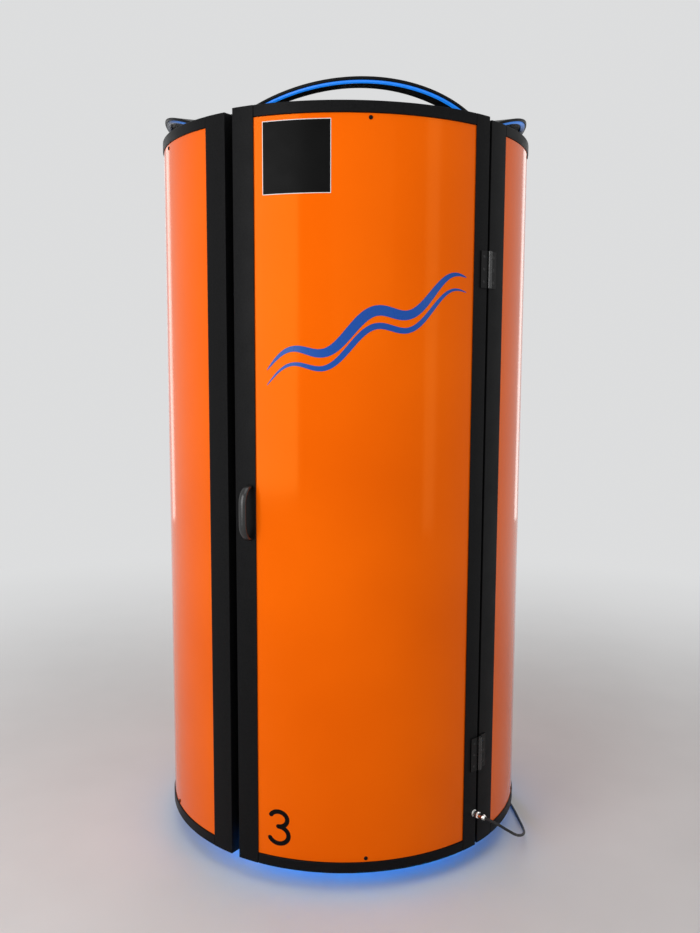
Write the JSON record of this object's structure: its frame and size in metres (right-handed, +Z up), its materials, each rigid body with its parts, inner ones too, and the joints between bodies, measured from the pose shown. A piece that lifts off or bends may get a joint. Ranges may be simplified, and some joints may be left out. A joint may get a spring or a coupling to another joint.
{
  "type": "stand-up tanning cabin",
  "caption": "Round stand-up tanning cabin with a curved hinged lamp door, waved light crown, roof fan, lamp banks behind clear shields and sprung buttons.",
  "frame": {"origin": "on the floor, on the cabin's vertical axis", "axes": "+Z up, -Y towards the front where the door is, +X towards the door's hinge side"},
  "size_m": [1.126, 1.129, 2.1973],
  "materials": {
    "orange_skin": "gloss",
    "black_coat": "fine texture, satin",
    "black_plastic": "satin",
    "blue_light": "lit diffuser",
    "bright_sheet": "bright",
    "steel": "zinc plated",
    "clear_acrylic": "clear",
    "lamp": "phosphor-coated glass",
    "rubber": "matte",
    "green_button": "gloss",
    "red_button": "gloss"
  },
  "bodies": {
    "cabinet": {"plinth": "black_coat", "plinth_light_strip": "blue_light", "base_platform": "black_coat", "base_skirt": "black_coat", "floor_mat": "rubber", "left_post": "black_coat", "right_post": "black_coat", "rear_column": "black_coat", "rear_cover": "black_coat", "left_panel": "orange_skin", "right_panel": "orange_skin", "roof_plate": "black_coat", "roof_ring": "black_coat", "control_gear_box": "black_coat", "crown_ring": "black_coat", "crown_light_front": "blue_light", "crown_light_right": "blue_light", "crown_light_rear": "blue_light", "crown_light_left": "blue_light", "left_lamp_bank": "lamp", "right_lamp_bank": "lamp", "left_reflector": "bright_sheet", "right_reflector": "bright_sheet", "left_lamp_shield": "clear_acrylic", "right_lamp_shield": "clear_acrylic", "fan_housing": "black_coat", "fan_guard": "black_coat", "control_panel": "black_plastic", "catch_magnet": "steel", "upper_hinge_body_leaf": "black_coat", "lower_hinge_body_leaf": "black_coat", "upper_hinge_pin": "steel", "lower_hinge_pin": "steel", "base_gland": "steel", "door_cable": "rubber"},
    "door": {"door_latch_stile": "black_coat", "door_hinge_stile": "black_coat", "door_top_rail": "black_coat", "door_bottom_rail": "black_coat", "door_panel": "orange_skin", "door_lamp_bank": "lamp", "door_reflector": "bright_sheet", "door_lamp_shield": "clear_acrylic", "door_handle": "black_plastic", "upper_hinge_door_leaf": "black_coat", "lower_hinge_door_leaf": "black_coat", "catch_strike": "steel", "door_gland": "steel"},
    "fan_rotor": {"fan_rotor": "black_plastic"},
    "start_button": {"start_button": "green_button"},
    "stop_button": {"stop_button": "red_button"}
  },
  "joints": [
    {"name": "door_swing", "type": "hinge", "parent": "cabinet", "child": "door", "pos_m": [0.3598, -0.44273, 0.062], "axis": [0, 0, 1], "range_deg": [0, 105], "deforming": ["door_cable"]},
    {"name": "fan_spin", "type": "hinge", "parent": "cabinet", "child": "fan_rotor", "pos_m": [0, 0, 2.1157], "axis": [0, 0, 1], "continuous": true},
    {"name": "start_press", "type": "slide", "parent": "cabinet", "child": "start_button", "axis": [0, 1, 0], "range_m": [0, 0.004], "stiffness_N_per_m": 400},
    {"name": "stop_press", "type": "slide", "parent": "cabinet", "child": "stop_button", "axis": [0, 1, 0], "range_m": [0, 0.004], "stiffness_N_per_m": 400}
  ]
}
